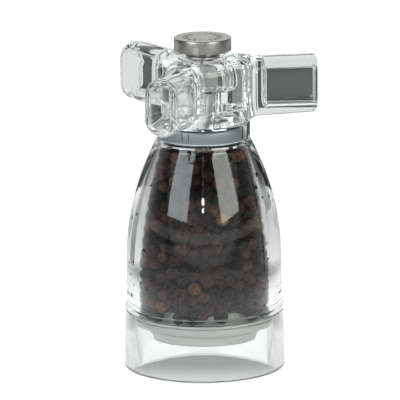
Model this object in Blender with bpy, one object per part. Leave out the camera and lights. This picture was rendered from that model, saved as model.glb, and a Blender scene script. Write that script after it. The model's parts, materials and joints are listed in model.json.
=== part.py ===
"""A clear acrylic pepper mill with a three-armed tap handle, built piece by piece.

Units are metres, +Z is up, and the origin is the centre of the foot on the turning axis.
Every piece of the mill is one object. The pieces that move together hang from one empty,
and every empty sits on the turning axis:

    body     the shell, its collar and bearing, the grinder's fixed pieces, and the pepper
    drive    the bush that turns with the spindle but stays at its height, and the spring
    spindle  the square rod and the grinding cone, which turn and also rise and fall
    head     the tap handle with its metal insert, which turns, and lifts off for filling
    knob     the adjusting knob, which screws along the spindle's threaded end
"""

import math

import bmesh
import bpy
from mathutils import Matrix, Vector

# ---- Fits -------------------------------------------------------------------
GAP = 0.0003  # air between two pieces that touch, slide or turn on each other

# ---- Shell ------------------------------------------------------------------
FOOT_RADIUS = 0.0282
FOOT_EDGE = 0.0006  # rounding of the foot's two edges
SKIRT_WALL = 0.0040
SKIRT_DRAFT = 0.0002  # how much the skirt's bore narrows up to its shoulder
STEP_Z = 0.0224  # height of the fine step around the outside
STEP_DEPTH = 0.0004
BELLY_INSET = 0.0009  # how much smaller the belly is than the foot
BELL_INSET = 0.0003  # how much the outside narrows from the step to where it starts to curve
BELL_START_Z = 0.0400  # the outside curves inwards from here
SHOULDER_Z = 0.0814  # where the collar sits
SHOULDER_RADIUS = 0.0164
CHAMBER_FLOOR_Z = 0.0195  # the shoulder that the carrier is pressed against
SHOULDER_WIDTH = 0.0011  # of that shoulder, inside the skirt
CHAMBER_TOP_RADIUS = 0.0152
CHAMBER_CURVE_Z = 0.0250  # the chamber curves inwards from here
ROOF_HEIGHT = 0.0025  # the rounded roof between the chamber and the neck
NECK_BORE_RADIUS = 0.0116
NECK_WALL = 0.0033
NECK_HEIGHT = 0.0052

# ---- Collar and neck bearing --------------------------------------------------
COLLAR_RADIUS = 0.0163
COLLAR_HEIGHT = 0.0060
COLLAR_LIP = 0.0008  # thickness of the lip that folds over the neck
COLLAR_EDGE = 0.0005
BUSH_WALL = 0.0020
BUSH_FLANGE = 0.0010  # how far the bush's flange reaches over the neck

# ---- Handle -------------------------------------------------------------------
HUB_RADIUS = 0.0160
HUB_HEIGHT = 0.0220
HUB_SHOULDER = 0.0045  # rounding of the hub's top edge
HUB_FOOT_EDGE = 0.0006
SPIGOT_LENGTH = 0.0075
RECESS_INNER_RADIUS = 0.0105
RECESS_WALL = 0.0028
RECESS_DEPTH = 0.0050
POCKET_RADIUS = 0.0080
POCKET_DEPTH = 0.0112
POCKET_CORNER = 0.0020
PEDESTAL_HEIGHT = 0.0020
PEDESTAL_WALL = 0.0007  # around the corners of the insert's tenon
ARM_COUNT = 3
ARM_REACH = 0.0398
ARM_WIDTH = 0.0122
ARM_HEIGHT = 0.0206
ARM_DRAFT = 0.0008  # how much the underside rises from the hub to the end
ARM_END_EDGE = 0.0014
ARM_END_STATIONS = ((1.0, 0.0), (0.3, 0.3), (0.0, 0.8))  # (distance from the end, inset) over ARM_END_EDGE
SOCKET_WIDTH = 0.0077
SOCKET_HEIGHT = 0.0144
SOCKET_DEPTH = 0.0193
SOCKET_CHAMFER = 0.0010

# ---- Cap, knob and stem ---------------------------------------------------------
CAP_RADIUS = 0.0083
CAP_THICKNESS = 0.0021
STEM_RADIUS = 0.0020
WASHER_RADIUS = 0.0060
WASHER_THICKNESS = 0.0007
KNOB_RADIUS = 0.0100
KNOB_HEIGHT = 0.0047
KNOB_EDGE = 0.0004
KNOB_BOSS_RADIUS = 0.0056
KNOB_BOSS_HEIGHT = 0.0013
KNOB_TOP_WALL = 0.0008
THREAD_INSERT_WALL = 0.0009

# ---- Spindle and drive insert -----------------------------------------------------
SPINDLE_SIDE = 0.0050
SPINDLE_CHAMFER = 0.0004
SPINDLE_JOIN = 0.0016  # how far the round ends reach into the square
INSERT_SIDE = 0.0084
TENON_SIDE = 0.0064
TENON_LENGTH = 0.0026

# ---- Grinder ------------------------------------------------------------------------
CARRIER_FLANGE_Z = 0.0159  # underside of the flange
CARRIER_RABBET = 0.0014  # height of the seal's rabbet above the flange
CUP_RADIUS = 0.0194
CUP_STEP_Z = 0.0135
CUP_STEP = 0.0008
CUP_FLOOR_Z = 0.0112
CUP_LIP = 0.0015
CUP_LIP_WIDTH = 0.0018
RING_RADIUS = 0.0120
RING_TIP_BOTTOM = 0.0094  # radius over the teeth where the ring is widest
RING_TIP_TOP = 0.0086
RING_TEETH = 20
CONE_RADIUS = 0.0089
CONE_HEIGHT = 0.0083
CONE_NECK_WALL = 0.0010
CONE_TEETH = 14
CONE_TWIST = math.radians(26)
CONE_SKIRT_SHARE = 0.35  # of the cone's height, where its wide part ends
CONE_SKIRT_TAPER = 0.86  # radius there, as a share of CONE_RADIUS
CONE_NECK_SHARE = 0.75  # of the cone's height, where its neck begins
TOOTH_DEPTH = 0.0007
TOOTH_TIP_SHARE = 0.7  # where a saw tooth's tip lies between two roots
CONE_FOOT_Z = 0.0122
SPRING_TURNS = 3.5
SPRING_WIRE_RADIUS = 0.0004
SPRING_HEIGHT = 0.0042
SPRING_WASHER_THICKNESS = 0.0006
GUIDE_BUSH_WALL = 0.0010
GUIDE_BUSH_FLANGE = 0.0013
GUIDE_BUSH_FLANGE_HEIGHT = 0.0008
GUIDE_HUB_WALL = 0.0021
GUIDE_HUB_HEIGHT = 0.0039
GUIDE_RIM_WIDTH = 0.0045
GUIDE_RIM_HEIGHT = 0.0022
GUIDE_LEG_WIDTH = 0.0030
GUIDE_LEG_HEIGHT = 0.0022
GUIDE_LEGS = 3
SCREW_HEAD_RADIUS = 0.0017
SCREW_HEAD_HEIGHT = 0.0012
SCREW_HEAD_ROUNDING = 0.6  # share of the head's height that is straight, and of its radius that is flat
SCREW_SHANK_RADIUS = 0.0009
SCREW_DEPTH = 0.0026  # how far a screw reaches into the carrier
NUT_RADIUS = 0.0036
NUT_HEIGHT = 0.0016
LOWER_WASHER_RADIUS = 0.0052
LOWER_WASHER_THICKNESS = 0.0008

# ---- Fineness of round shapes ----------------------------------------------------------
STEPS_LARGE = 44
STEPS_MEDIUM = 32
STEPS_SMALL = 24
STEPS_TINY = 12
ARC_POINTS = 5
EDGE_POINTS = 3
SEAL_POINTS = 6
BELL_POINTS = 9
CHAMBER_POINTS = 7
SPRING_POINTS_PER_TURN = 14
SHARP_ANGLE = math.radians(35)  # edges sharper than this stay sharp in a render

# ---- Sizes that follow from those above --------------------------------------------------
SKIRT_BORE = FOOT_RADIUS - SKIRT_WALL
SKIRT_TOP_BORE = SKIRT_BORE - SKIRT_DRAFT
BELLY_RADIUS = FOOT_RADIUS - BELLY_INSET
CHAMBER_RADIUS = SKIRT_TOP_BORE - SHOULDER_WIDTH
NECK_RADIUS = NECK_BORE_RADIUS + NECK_WALL
NECK_TOP_Z = SHOULDER_Z + NECK_HEIGHT
COLLAR_TOP_Z = SHOULDER_Z + GAP + COLLAR_HEIGHT
HUB_FOOT_Z = COLLAR_TOP_Z + GAP
HUB_TOP_Z = HUB_FOOT_Z + HUB_HEIGHT
BUSH_BORE = NECK_BORE_RADIUS - GAP - BUSH_WALL
SQUARE_HOLE = SPINDLE_SIDE + 2 * GAP
HOLE_CORNER = SQUARE_HOLE / math.sqrt(2)  # radius that the square hole's corners reach
CAP_FOOT_Z = HUB_TOP_Z - CAP_THICKNESS
POCKET_LEDGE_Z = CAP_FOOT_Z - GAP
POCKET_FLOOR_Z = HUB_TOP_Z - POCKET_DEPTH
PEDESTAL_TOP_Z = POCKET_FLOOR_Z + PEDESTAL_HEIGHT
TENON_HOLE = TENON_SIDE + 2 * GAP
INSERT_FOOT_Z = PEDESTAL_TOP_Z + GAP
INSERT_TOP_Z = POCKET_LEDGE_Z
WASHER_FOOT_Z = HUB_TOP_Z + GAP
KNOB_BOSS_Z = WASHER_FOOT_Z + WASHER_THICKNESS + GAP
KNOB_FOOT_Z = KNOB_BOSS_Z + KNOB_BOSS_HEIGHT
KNOB_TOP_Z = KNOB_FOOT_Z + KNOB_HEIGHT
THREAD_INSERT_BORE = STEM_RADIUS + GAP
THREAD_INSERT_RADIUS = THREAD_INSERT_BORE + THREAD_INSERT_WALL
STEM_TOP_Z = KNOB_TOP_Z - KNOB_TOP_WALL - GAP
CARRIER_TOP_Z = CHAMBER_FLOOR_Z - GAP
RABBET_Z = CHAMBER_FLOOR_Z - CARRIER_RABBET
CARRIER_BORE = RING_RADIUS + GAP
RING_FOOT_Z = CUP_FLOOR_Z + CUP_LIP + GAP
RING_TOP_Z = CARRIER_TOP_Z - GAP
CONE_TOP_Z = CONE_FOOT_Z + CONE_HEIGHT
CONE_NECK_RADIUS = HOLE_CORNER + CONE_NECK_WALL
SPRING_WASHER_Z = CONE_TOP_Z + GAP
SPRING_FOOT_Z = SPRING_WASHER_Z + SPRING_WASHER_THICKNESS + GAP
SPRING_TOP_Z = SPRING_FOOT_Z + SPRING_HEIGHT
GUIDE_BUSH_Z = SPRING_TOP_Z + GAP
GUIDE_BUSH_RADIUS = HOLE_CORNER + GUIDE_BUSH_WALL
GUIDE_HUB_Z = GUIDE_BUSH_Z + GUIDE_BUSH_FLANGE_HEIGHT + GAP
GUIDE_HUB_BORE = GUIDE_BUSH_RADIUS + GAP
GUIDE_HUB_RADIUS = GUIDE_HUB_BORE + GUIDE_HUB_WALL
GUIDE_HUB_TOP_Z = GUIDE_HUB_Z + GUIDE_HUB_HEIGHT
GUIDE_RIM_Z = CARRIER_TOP_Z + GAP
GUIDE_RIM_TOP_Z = GUIDE_RIM_Z + GUIDE_RIM_HEIGHT
GUIDE_RIM_BORE = CARRIER_BORE
GUIDE_RIM_RADIUS = GUIDE_RIM_BORE + GUIDE_RIM_WIDTH
SCREW_CIRCLE = GUIDE_RIM_BORE + GUIDE_RIM_WIDTH / 2
SPRING_RADIUS = HOLE_CORNER + GAP + SPRING_WIRE_RADIUS
SPRING_WASHER_RADIUS = SPRING_RADIUS + 3 * SPRING_WIRE_RADIUS
LOWER_WASHER_Z = CONE_FOOT_Z - GAP - LOWER_WASHER_THICKNESS
NUT_Z = LOWER_WASHER_Z - GAP - NUT_HEIGHT


# ---- Modelling helpers ---------------------------------------------------------------------
def clear_scene():
    """Remove every object that the startup file holds."""
    for obj in list(bpy.data.objects):
        bpy.data.objects.remove(obj, do_unlink=True)


def make_material(name, colour, roughness, metallic=0.0, transmission=0.0):
    """A Principled material in one plain colour."""
    material = bpy.data.materials.new(name)
    material.use_nodes = True
    shader = material.node_tree.nodes["Principled BSDF"]
    shader.inputs["Base Color"].default_value = (*colour, 1.0)
    shader.inputs["Roughness"].default_value = roughness
    shader.inputs["Metallic"].default_value = metallic
    shader.inputs["Transmission Weight"].default_value = transmission
    shader.inputs["IOR"].default_value = 1.49
    return material


def make_axis(name):
    """An empty on the turning axis that carries the pieces of one moving group."""
    axis = bpy.data.objects.new(name, None)
    axis.empty_display_size = HUB_RADIUS
    bpy.context.scene.collection.objects.link(axis)
    return axis


def add_object(name, shape, material=None, parent=None):
    """Turn a bmesh into an object, with its faces pointing out and round faces smooth."""
    bmesh.ops.recalc_face_normals(shape, faces=shape.faces)
    mesh = bpy.data.meshes.new(name)
    shape.to_mesh(mesh)
    shape.free()
    mesh.shade_smooth()
    mesh.set_sharp_from_angle(angle=SHARP_ANGLE)
    obj = bpy.data.objects.new(name, mesh)
    bpy.context.scene.collection.objects.link(obj)
    if material:
        mesh.materials.append(material)
    obj.parent = parent
    return obj


def as_cutter(obj):
    """Hide a helper solid that only cuts or joins another piece."""
    obj.hide_render = True
    obj.display_type = "WIRE"
    return obj


def add_boolean(obj, other, operation="DIFFERENCE"):
    """Cut the other solid from this one, or join it to this one."""
    modifier = obj.modifiers.new(f"{operation.lower()} {other.name}", "BOOLEAN")
    modifier.operation = operation
    modifier.solver = "EXACT"
    modifier.object = other


def turned_shape(profile, steps):
    """The bmesh of a closed (radius, height) outline turned once around the Z axis."""
    shape = bmesh.new()
    points = [shape.verts.new((radius, 0.0, height)) for radius, height in profile]
    edges = [shape.edges.new((a, b)) for a, b in zip(points, points[1:] + points[:1])]
    bmesh.ops.spin(
        shape,
        geom=points + edges,
        cent=(0, 0, 0),
        axis=(0, 0, 1),
        angle=2 * math.pi,
        steps=steps,
        use_merge=True,
    )
    bmesh.ops.remove_doubles(shape, verts=shape.verts, dist=1e-7)
    on_axis = [edge for edge in shape.edges if all(abs(v.co.x) + abs(v.co.y) < 1e-7 for v in edge.verts)]
    bmesh.ops.delete(shape, geom=on_axis, context="EDGES")
    return shape


def make_turned(name, profile, material, parent, steps=STEPS_SMALL):
    """A piece turned on a lathe from a closed (radius, height) outline."""
    return add_object(name, turned_shape(profile, steps), material, parent)


def lofted_shape(sections):
    """The bmesh of a solid through outlines with equal point counts, capped at both ends."""
    shape = bmesh.new()
    rings = [[shape.verts.new(point) for point in section] for section in sections]
    for lower, upper in zip(rings, rings[1:]):
        count = len(lower)
        for i in range(count):
            j = (i + 1) % count
            shape.faces.new((lower[i], lower[j], upper[j], upper[i]))
    shape.faces.new(rings[0])
    shape.faces.new(rings[-1])
    return shape


def make_square_cutter(name, side, bottom, top, parent):
    """An upright square bar on the axis that cuts a square hole."""
    half = side / 2
    corners = [(half, half), (-half, half), (-half, -half), (half, -half)]
    sections = [[Vector((x, y, z)) for x, y in corners] for z in (bottom, top)]
    return as_cutter(add_object(name, lofted_shape(sections), parent=parent))


def arc(centre, radius, start, end, count=ARC_POINTS):
    """Points along an arc of a (radius, height) outline, from one angle in degrees to another."""
    angles = [math.radians(start + (end - start) * i / (count - 1)) for i in range(count)]
    return [(centre[0] + radius * math.cos(a), centre[1] + radius * math.sin(a)) for a in angles]


def bell(start, end, count):
    """Points on the parabola that leaves start upright and bends in to end."""
    reach = end[1] - start[1]
    shares = [i / (count - 1) for i in range(count)]
    return [(start[0] + (end[0] - start[0]) * t * t, start[1] + reach * t) for t in shares]


def chamber_radius(height):
    """Radius of the pepper chamber at a height."""
    top = SHOULDER_Z - ROOF_HEIGHT
    share = max(0.0, (height - CHAMBER_CURVE_Z) / (top - CHAMBER_CURVE_Z))
    return CHAMBER_RADIUS + (CHAMBER_TOP_RADIUS - CHAMBER_RADIUS) * share * share


# ---- Body ---------------------------------------------------------------------------------
def make_body_shell(material, parent):
    """The bell of clear acrylic: a skirt open below, the pepper chamber, and a neck above."""
    foot_outer = (FOOT_RADIUS - FOOT_EDGE, FOOT_EDGE)
    foot_inner = (SKIRT_BORE + FOOT_EDGE, FOOT_EDGE)
    outside = arc(foot_outer, FOOT_EDGE, -90, 0, EDGE_POINTS)
    outside += [(BELLY_RADIUS + STEP_DEPTH, STEP_Z - STEP_DEPTH), (BELLY_RADIUS, STEP_Z)]
    outside += bell((BELLY_RADIUS - BELL_INSET, BELL_START_Z), (SHOULDER_RADIUS, SHOULDER_Z), BELL_POINTS)
    neck = [(NECK_RADIUS, SHOULDER_Z), (NECK_RADIUS, NECK_TOP_Z), (NECK_BORE_RADIUS, NECK_TOP_Z)]
    roof_z = SHOULDER_Z - ROOF_HEIGHT
    roof = [(NECK_BORE_RADIUS, SHOULDER_Z), (CHAMBER_TOP_RADIUS - ROOF_HEIGHT / 2, roof_z + ROOF_HEIGHT / 2)]
    chamber = bell((CHAMBER_RADIUS, CHAMBER_CURVE_Z), (CHAMBER_TOP_RADIUS, roof_z), CHAMBER_POINTS)[::-1]
    skirt = [(CHAMBER_RADIUS, CHAMBER_FLOOR_Z), (SKIRT_TOP_BORE, CHAMBER_FLOOR_Z)]
    skirt += arc(foot_inner, FOOT_EDGE, 180, 270, EDGE_POINTS)
    return make_turned("body_shell", outside + neck + roof + chamber + skirt, material, parent, STEPS_LARGE)


def make_neck_collar(material, parent):
    """The bright ring that covers the neck, with a lip folded over the neck's top."""
    foot = SHOULDER_Z + GAP
    bore = NECK_RADIUS + GAP
    lip_radius = NECK_BORE_RADIUS + BUSH_FLANGE + GAP
    lip_z = NECK_TOP_Z + GAP
    profile = [
        (bore, foot),
        (COLLAR_RADIUS - COLLAR_EDGE, foot),
        (COLLAR_RADIUS, foot + COLLAR_EDGE),
        (COLLAR_RADIUS, COLLAR_TOP_Z - COLLAR_EDGE),
        (COLLAR_RADIUS - COLLAR_EDGE, COLLAR_TOP_Z),
        (lip_radius, COLLAR_TOP_Z),
        (lip_radius, lip_z),
        (bore, lip_z),
    ]
    return make_turned("neck_collar", profile, material, parent, STEPS_LARGE)


def make_neck_bush(material, parent):
    """The flanged nylon bearing in the neck, in which the handle's spigot turns."""
    flange_z = NECK_TOP_Z + GAP
    outer = NECK_BORE_RADIUS - GAP
    profile = [
        (BUSH_BORE, SHOULDER_Z - GAP),
        (outer, SHOULDER_Z - GAP),
        (outer, flange_z),
        (NECK_BORE_RADIUS + BUSH_FLANGE, flange_z),
        (NECK_BORE_RADIUS + BUSH_FLANGE, COLLAR_TOP_Z),
        (BUSH_BORE, COLLAR_TOP_Z),
    ]
    return make_turned("neck_bush", profile, material, parent)


def make_burr_carrier(material, parent):
    """The milky floor of the chamber: a flange under the shell's shoulder and a cup below it."""
    flange_radius = SKIRT_TOP_BORE - GAP
    plug_radius = CHAMBER_RADIUS - GAP
    lip_bore = RING_RADIUS - CUP_LIP_WIDTH + GAP
    profile = [
        (lip_bore, CUP_FLOOR_Z),
        (CUP_RADIUS - 2 * CUP_STEP, CUP_FLOOR_Z),
        (CUP_RADIUS - CUP_STEP - GAP, CUP_STEP_Z),
        (CUP_RADIUS - GAP, CUP_STEP_Z),
        (CUP_RADIUS, CARRIER_FLANGE_Z),
        (flange_radius, CARRIER_FLANGE_Z),
        (flange_radius, RABBET_Z),
        (plug_radius, RABBET_Z),
        (plug_radius, CARRIER_TOP_Z),
        (CARRIER_BORE, CARRIER_TOP_Z),
        (CARRIER_BORE, CUP_FLOOR_Z + CUP_LIP),
        (lip_bore, CUP_FLOOR_Z + CUP_LIP),
    ]
    carrier = make_turned("burr_carrier", profile, material, parent, STEPS_LARGE)
    for index, angle in enumerate(screw_angles(), start=1):
        hole = upright_cylinder(SCREW_SHANK_RADIUS + GAP, RABBET_Z - SCREW_DEPTH, CARRIER_TOP_Z + GAP, angle)
        add_boolean(carrier, as_cutter(add_object(f"carrier_hole_{index}", hole, parent=parent)))
    return carrier


def make_carrier_seal(material, parent):
    """The rubber ring in the carrier's rabbet, under the shell's shoulder."""
    inner = CHAMBER_RADIUS - GAP
    section = (SKIRT_TOP_BORE - inner) / 2 - GAP
    centre = ((inner + SKIRT_TOP_BORE) / 2, CHAMBER_FLOOR_Z - CARRIER_RABBET / 2)
    profile = arc(centre, section, 0, 300, SEAL_POINTS)
    return make_turned("carrier_seal", profile, material, parent, STEPS_LARGE)


def star(teeth, tip, depth, height, turn):
    """An outline with saw teeth: each rises slowly to its tip and drops back steeply."""
    points = []
    for i in range(teeth):
        for share, radius in ((0.0, tip - depth), (TOOTH_TIP_SHARE, tip)):
            angle = 2 * math.pi * (i + share) / teeth + turn
            points.append(Vector((radius * math.cos(angle), radius * math.sin(angle), height)))
    return points


def make_grinding_ring(material, parent):
    """The fixed outer burr, with teeth inside and a throat that narrows upwards."""
    profile = [
        (RING_TIP_TOP, RING_FOOT_Z),
        (RING_RADIUS, RING_FOOT_Z),
        (RING_RADIUS, RING_TOP_Z),
        (RING_TIP_TOP, RING_TOP_Z),
    ]
    ring = make_turned("grinding_ring", profile, material, parent, 2 * RING_TEETH)
    low, high = RING_FOOT_Z - GAP, RING_TOP_Z + GAP
    sections = [
        star(RING_TEETH, RING_TIP_BOTTOM + TOOTH_DEPTH, TOOTH_DEPTH, low, 0.0),
        star(RING_TEETH, RING_TIP_TOP + TOOTH_DEPTH, TOOTH_DEPTH, high, 0.0),
    ]
    throat = as_cutter(add_object("ring_throat", lofted_shape(sections), parent=parent))
    add_boolean(ring, throat)
    return ring


def screw_angles():
    """Angles of the guide's screws, halfway between its legs."""
    return [2 * math.pi * (i + 0.5) / GUIDE_LEGS for i in range(GUIDE_LEGS)]


def upright_cylinder(radius, bottom, top, angle):
    """The bmesh of an upright cylinder on the screw circle."""
    shape = turned_shape([(0, bottom), (radius, bottom), (radius, top), (0, top)], STEPS_TINY)
    place = Matrix.Rotation(angle, 4, "Z") @ Matrix.Translation((SCREW_CIRCLE, 0, 0))
    bmesh.ops.transform(shape, matrix=place, verts=shape.verts)
    return shape


def make_spindle_guide(material, parent):
    """The cage above the burrs: a rim on the carrier, and three legs up to a round bearing."""
    hub_profile = [
        (GUIDE_HUB_BORE, GUIDE_HUB_Z),
        (GUIDE_HUB_RADIUS, GUIDE_HUB_Z),
        (GUIDE_HUB_RADIUS, GUIDE_HUB_TOP_Z),
        (GUIDE_HUB_BORE, GUIDE_HUB_TOP_Z),
    ]
    guide = make_turned("spindle_guide", hub_profile, material, parent)
    rim_profile = [
        (GUIDE_RIM_BORE, GUIDE_RIM_Z),
        (GUIDE_RIM_RADIUS, GUIDE_RIM_Z),
        (GUIDE_RIM_RADIUS, GUIDE_RIM_TOP_Z),
        (GUIDE_RIM_BORE, GUIDE_RIM_TOP_Z),
    ]
    rim = add_object("guide_rim", turned_shape(rim_profile, STEPS_MEDIUM), parent=parent)
    low = Vector((GUIDE_RIM_BORE + GUIDE_LEG_HEIGHT, 0, (GUIDE_RIM_Z + GUIDE_RIM_TOP_Z) / 2))
    high = Vector(((GUIDE_HUB_BORE + GUIDE_HUB_RADIUS) / 2, 0, (GUIDE_HUB_Z + GUIDE_HUB_TOP_Z) / 2))
    half_width, half_height = GUIDE_LEG_WIDTH / 2, GUIDE_LEG_HEIGHT / 2
    ends = [
        [point + Vector((0, y * half_width, z * half_height)) for y, z in ((-1, -1), (1, -1), (1, 1), (-1, 1))]
        for point in (low, high)
    ]
    for index in range(GUIDE_LEGS):
        leg = lofted_shape(ends)
        turn = Matrix.Rotation(2 * math.pi * index / GUIDE_LEGS, 4, "Z")
        bmesh.ops.transform(leg, matrix=turn, verts=leg.verts)
        add_boolean(guide, as_cutter(add_object(f"guide_leg_{index + 1}", leg, parent=parent)), "UNION")
    add_boolean(guide, as_cutter(rim), "UNION")
    for index, angle in enumerate(screw_angles(), start=1):
        hole = upright_cylinder(SCREW_SHANK_RADIUS + GAP, GUIDE_RIM_Z - GAP, GUIDE_RIM_TOP_Z + GAP, angle)
        add_boolean(guide, as_cutter(add_object(f"guide_hole_{index}", hole, parent=parent)))
    return guide


def make_guide_screw(index, angle, material, parent):
    """A pan-head screw that holds the guide, and so the ring, to the carrier."""
    head_z = GUIDE_RIM_TOP_Z + GAP
    profile = [
        (0, RABBET_Z - SCREW_DEPTH + GAP),
        (SCREW_SHANK_RADIUS, RABBET_Z - SCREW_DEPTH + GAP),
        (SCREW_SHANK_RADIUS, head_z),
        (SCREW_HEAD_RADIUS, head_z),
        (SCREW_HEAD_RADIUS, head_z + SCREW_HEAD_HEIGHT * SCREW_HEAD_ROUNDING),
        (SCREW_HEAD_RADIUS * SCREW_HEAD_ROUNDING, head_z + SCREW_HEAD_HEIGHT),
        (0, head_z + SCREW_HEAD_HEIGHT),
    ]
    screw = turned_shape(profile, STEPS_TINY)
    place = Matrix.Rotation(angle, 4, "Z") @ Matrix.Translation((SCREW_CIRCLE, 0, 0))
    bmesh.ops.transform(screw, matrix=place, verts=screw.verts)
    return add_object(f"guide_screw_{index}", screw, material, parent)


def make_peppercorn_fill(material, parent):
    """One plain solid with the outside shape of the loose pepper that fills the chamber."""
    clear = 2 * GAP
    screw_top = GUIDE_RIM_TOP_Z + GAP + SCREW_HEAD_HEIGHT + clear
    bottom = CARRIER_TOP_Z + GAP
    roof_z = SHOULDER_Z - ROOF_HEIGHT - clear
    rim_side = GUIDE_RIM_RADIUS + GAP
    hub_side = GUIDE_HUB_RADIUS + clear
    bore = HOLE_CORNER + GAP
    rise = (roof_z - CHAMBER_CURVE_Z) / (CHAMBER_POINTS - 1)
    heights = [bottom] + [CHAMBER_CURVE_Z + rise * i for i in range(CHAMBER_POINTS)]
    outside = [(chamber_radius(z) - clear, z) for z in heights]
    inside = [
        (bore, roof_z),
        (bore, GUIDE_HUB_TOP_Z + clear),
        (hub_side, GUIDE_HUB_TOP_Z + clear),
        (rim_side, screw_top),
        (rim_side, bottom),
    ]
    return make_turned("peppercorn_fill", outside + inside, material, parent, STEPS_SMALL)


# ---- Drive and spindle ---------------------------------------------------------------------
def make_guide_bush(material, parent):
    """The bush that is round outside and square inside, and turns in the guide's hub."""
    top = GUIDE_HUB_TOP_Z + GAP
    flange_top = GUIDE_BUSH_Z + GUIDE_BUSH_FLANGE_HEIGHT
    profile = [
        (0, GUIDE_BUSH_Z),
        (GUIDE_BUSH_RADIUS + GUIDE_BUSH_FLANGE, GUIDE_BUSH_Z),
        (GUIDE_BUSH_RADIUS + GUIDE_BUSH_FLANGE, flange_top),
        (GUIDE_BUSH_RADIUS, flange_top),
        (GUIDE_BUSH_RADIUS, top),
        (0, top),
    ]
    bush = make_turned("guide_bush", profile, material, parent)
    add_boolean(bush, make_square_cutter("bush_square", SQUARE_HOLE, GUIDE_BUSH_Z - GAP, top + GAP, parent))
    return bush


def make_burr_spring(material, parent):
    """The compression spring that pushes the cone down, away from the ring."""
    count = round(SPRING_TURNS * SPRING_POINTS_PER_TURN)
    low = SPRING_FOOT_Z + SPRING_WIRE_RADIUS
    high = SPRING_TOP_Z - SPRING_WIRE_RADIUS
    curve = bpy.data.curves.new("burr_spring", "CURVE")
    curve.dimensions = "3D"
    curve.bevel_depth = SPRING_WIRE_RADIUS
    curve.bevel_resolution = 1
    curve.use_fill_caps = True
    spline = curve.splines.new("POLY")
    spline.points.add(count)
    for i, point in enumerate(spline.points):
        angle = 2 * math.pi * i / SPRING_POINTS_PER_TURN
        rise = low + (high - low) * i / count
        point.co = (SPRING_RADIUS * math.cos(angle), SPRING_RADIUS * math.sin(angle), rise, 1.0)
    curve.materials.append(material)
    spring = bpy.data.objects.new("burr_spring", curve)
    bpy.context.scene.collection.objects.link(spring)
    spring.parent = parent
    return spring


def make_spindle(material, parent):
    """The square rod through the whole mill, threaded above for the knob and below for the nut."""
    half = SPINDLE_SIDE / 2
    square_top = INSERT_TOP_Z - 2 * GAP
    square_foot = LOWER_WASHER_Z + LOWER_WASHER_THICKNESS + GAP
    inset = half - SPINDLE_CHAMFER

    def square(side, height):
        return [Vector((x * side, y * side, height)) for x, y in ((1, 1), (-1, 1), (-1, -1), (1, -1))]

    sections = [square(half, square_foot), square(half, square_top - SPINDLE_CHAMFER), square(inset, square_top)]
    rod = add_object("spindle", lofted_shape(sections), material, parent)
    stem_profile = [
        (0, square_top - SPINDLE_JOIN),
        (STEM_RADIUS, square_top - SPINDLE_JOIN),
        (STEM_RADIUS, STEM_TOP_Z - SPINDLE_CHAMFER),
        (STEM_RADIUS - SPINDLE_CHAMFER, STEM_TOP_Z),
        (0, STEM_TOP_Z),
    ]
    tail_profile = [
        (0, NUT_Z - GAP),
        (STEM_RADIUS, NUT_Z - GAP),
        (STEM_RADIUS, square_foot + SPINDLE_JOIN),
        (0, square_foot + SPINDLE_JOIN),
    ]
    stem = add_object("spindle_stem", turned_shape(stem_profile, STEPS_TINY), parent=parent)
    tail = add_object("spindle_tail", turned_shape(tail_profile, STEPS_TINY), parent=parent)
    add_boolean(rod, as_cutter(stem), "UNION")
    add_boolean(rod, as_cutter(tail), "UNION")
    return rod


def make_grinding_cone(material, parent):
    """The turning inner burr: a toothed cone, widest below, on the spindle's square."""
    bands = [
        (0.0, CONE_RADIUS),
        (CONE_SKIRT_SHARE, CONE_RADIUS * CONE_SKIRT_TAPER),
        (CONE_NECK_SHARE, CONE_NECK_RADIUS + TOOTH_DEPTH),
        (1.0, CONE_NECK_RADIUS),
    ]
    sections = [
        star(CONE_TEETH, tip, TOOTH_DEPTH * (share < 1), CONE_FOOT_Z + CONE_HEIGHT * share, -CONE_TWIST * share)
        for share, tip in bands
    ]
    cone = add_object("grinding_cone", lofted_shape(sections), material, parent)
    hole = make_square_cutter("cone_square", SQUARE_HOLE, CONE_FOOT_Z - GAP, CONE_TOP_Z + GAP, parent)
    add_boolean(cone, hole)
    return cone


def make_washer(name, radius, hole, bottom, thickness, material, parent):
    """A plain round washer."""
    top = bottom + thickness
    profile = [(hole, bottom), (radius, bottom), (radius, top), (hole, top)]
    return make_turned(name, profile, material, parent)


def make_retaining_nut(material, parent):
    """The hexagonal nut that holds the cone on the spindle's lower end."""
    top = NUT_Z + NUT_HEIGHT
    angles = [math.radians(60 * i) for i in range(6)]
    outline = [(NUT_RADIUS * math.cos(a), NUT_RADIUS * math.sin(a)) for a in angles]
    sections = [[Vector((x, y, z)) for x, y in outline] for z in (NUT_Z, top)]
    nut = add_object("retaining_nut", lofted_shape(sections), material, parent)
    bore = STEM_RADIUS + GAP
    hole = turned_shape([(0, NUT_Z - GAP), (bore, NUT_Z - GAP), (bore, top + GAP), (0, top + GAP)], STEPS_TINY)
    add_boolean(nut, as_cutter(add_object("nut_hole", hole, parent=parent)))
    return nut


# ---- Head ----------------------------------------------------------------------------------
def obround(width, height, x, z, per_end=6):
    """An upright outline with round ends across the X axis, centred at height z."""
    radius = width / 2
    rise = height / 2 - radius
    points = []
    for side in (1, -1):
        for i in range(per_end + 1):
            angle = math.pi * i / per_end + (0 if side > 0 else math.pi)
            points.append(Vector((x, radius * math.cos(angle), z + side * rise + radius * math.sin(angle))))
    return points


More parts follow.
